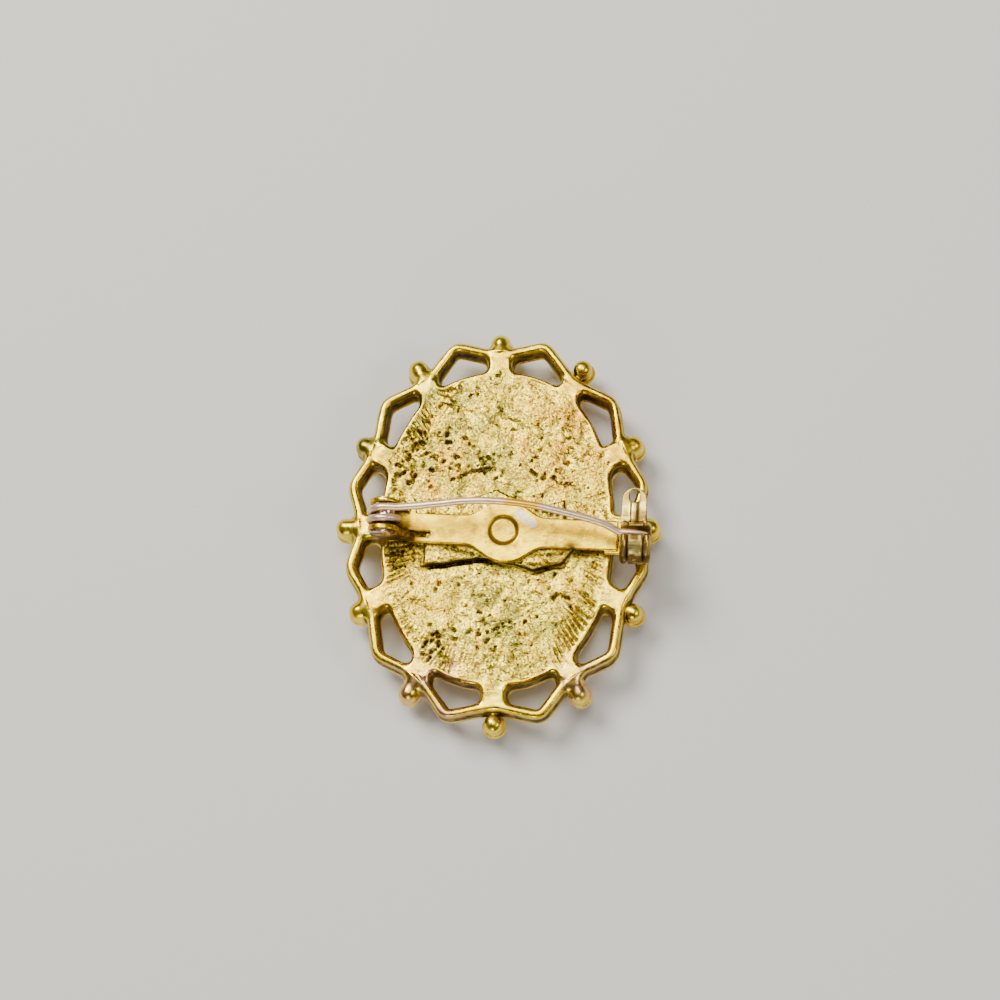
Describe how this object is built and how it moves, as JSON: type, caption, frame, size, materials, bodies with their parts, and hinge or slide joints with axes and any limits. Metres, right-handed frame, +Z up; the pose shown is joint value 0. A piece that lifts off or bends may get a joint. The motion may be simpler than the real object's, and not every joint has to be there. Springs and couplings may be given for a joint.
{
  "type": "cameo brooch",
  "caption": "Oval cameo brooch with a pierced cast border, and on its back a bar finding with a hinged pin stem and a turning safety catch.",
  "frame": {"origin": "centre of the box's bottom face: under the middle of the oval, on the surface that the brooch lies on face down", "axes": "+Z up out of the brooch's back; +Y along the oval, towards its top as the picture shows it; +X across the oval, towards the catch"},
  "size_m": [0.0324, 0.0412, 0.0112],
  "materials": {
    "cast_gold": "gold-toned zinc casting, rough and pitted on its back, tarnished dark in its hollows",
    "cameo_resin": "moulded resin, ivory relief on a soft orange-brown ground, satin",
    "bar_brass": "stamped brass strip, brushed, lightly worn",
    "rivet_metal": "plated rivet, bright",
    "stem_wire": "nickel plated spring wire, bright, faintly pink",
    "catch_brass": "pale plated brass, bright on its edges, brown inside"
  },
  "bodies": {
    "brooch": {"frame": "cast_gold", "cameo": "cameo_resin", "pin_bar": "bar_brass", "hinge_rivet": "rivet_metal"},
    "stem": {"pin_stem": "stem_wire"},
    "rotor": {"catch_rotor": "catch_brass"}
  },
  "joints": [
    {"name": "stem_hinge", "type": "hinge", "parent": "brooch", "child": "stem", "pos_m": [-0.0105, -0.00012, 0.0091], "axis": [-0.0419, -0.9991, 0], "range_deg": [0, 100]},
    {"name": "catch_turn", "type": "hinge", "parent": "brooch", "child": "rotor", "pos_m": [0.01362, -0.00263, 0.0086], "axis": [0.9991, -0.0419, 0], "range_deg": [0, 90]}
  ]
}
